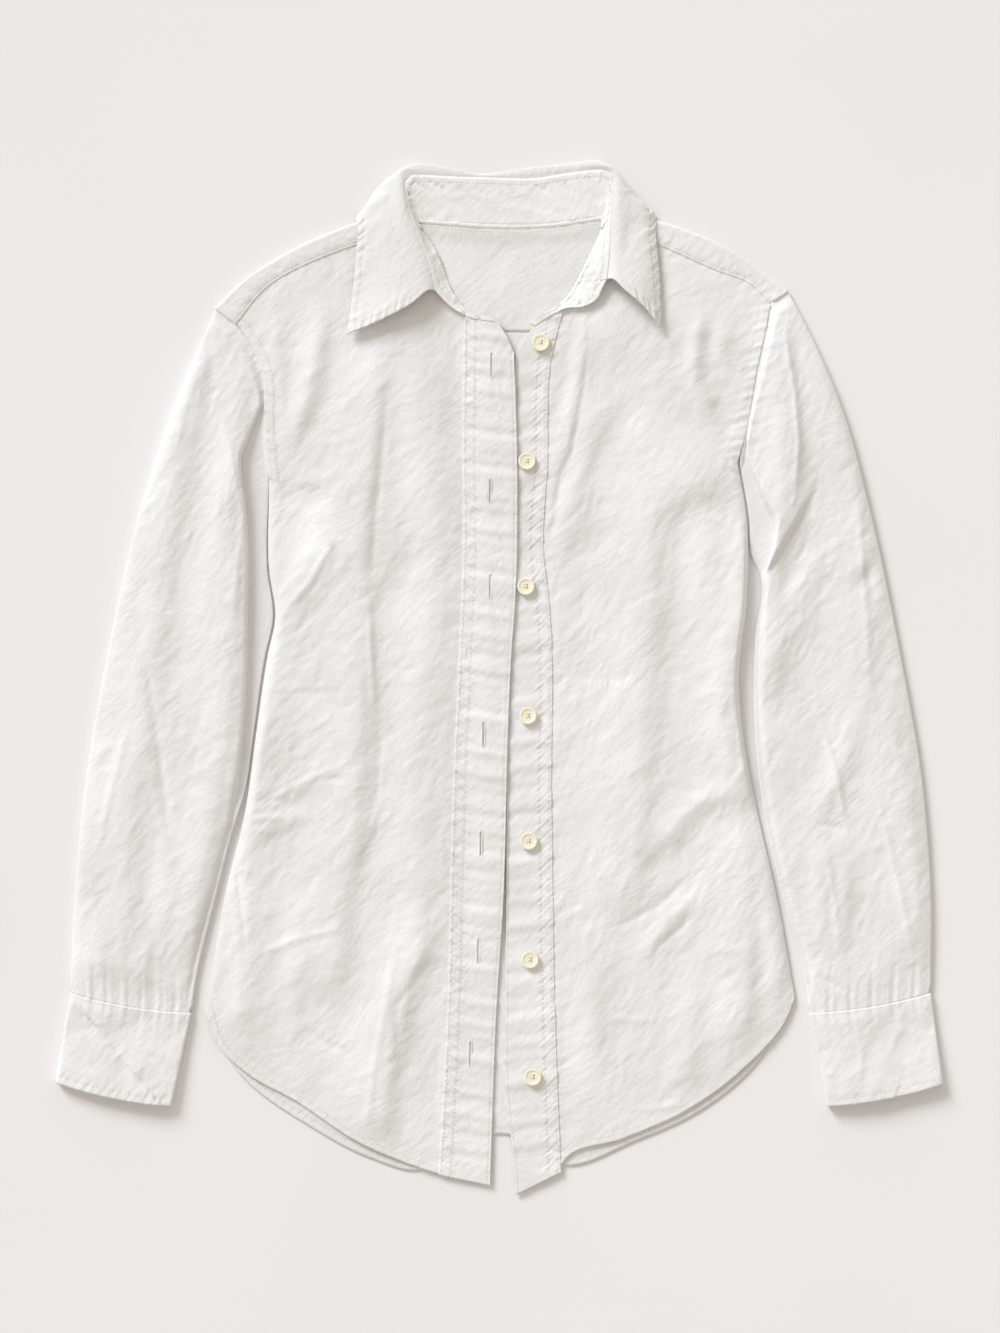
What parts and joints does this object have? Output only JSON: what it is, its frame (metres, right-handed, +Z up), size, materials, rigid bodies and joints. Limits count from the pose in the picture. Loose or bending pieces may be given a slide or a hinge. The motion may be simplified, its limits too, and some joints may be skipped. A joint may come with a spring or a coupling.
{
  "type": "crumpled shirt",
  "caption": "Button-front cotton shirt with a pointed collar, long cuffed sleeves and a curved hem, laid open and slightly crumpled on a flat surface.",
  "frame": {"origin": "on the surface the shirt lies on, under the middle of its outline", "axes": "+Z up from the surface, +Y from the hem to the collar, +X towards the wearer's left sleeve"},
  "size_m": [0.666, 0.7762, 0.0197],
  "materials": {
    "cotton": "matt white cotton, softly creased",
    "button": "satin cream resin"
  },
  "bodies": {
    "root": {"back": "cotton", "yoke": "cotton", "front_right": "cotton", "front_left": "cotton", "placket_buttonhole": "cotton", "placket_button": "cotton", "collar_stand": "cotton", "collar": "cotton", "sleeve_right": "cotton", "sleeve_left": "cotton", "cuff_right": "cotton", "cuff_left": "cotton", "button_1": "button", "button_2": "button", "button_3": "button", "button_4": "button", "button_5": "button", "button_6": "button", "button_7": "button"}
  },
  "joints": []
}
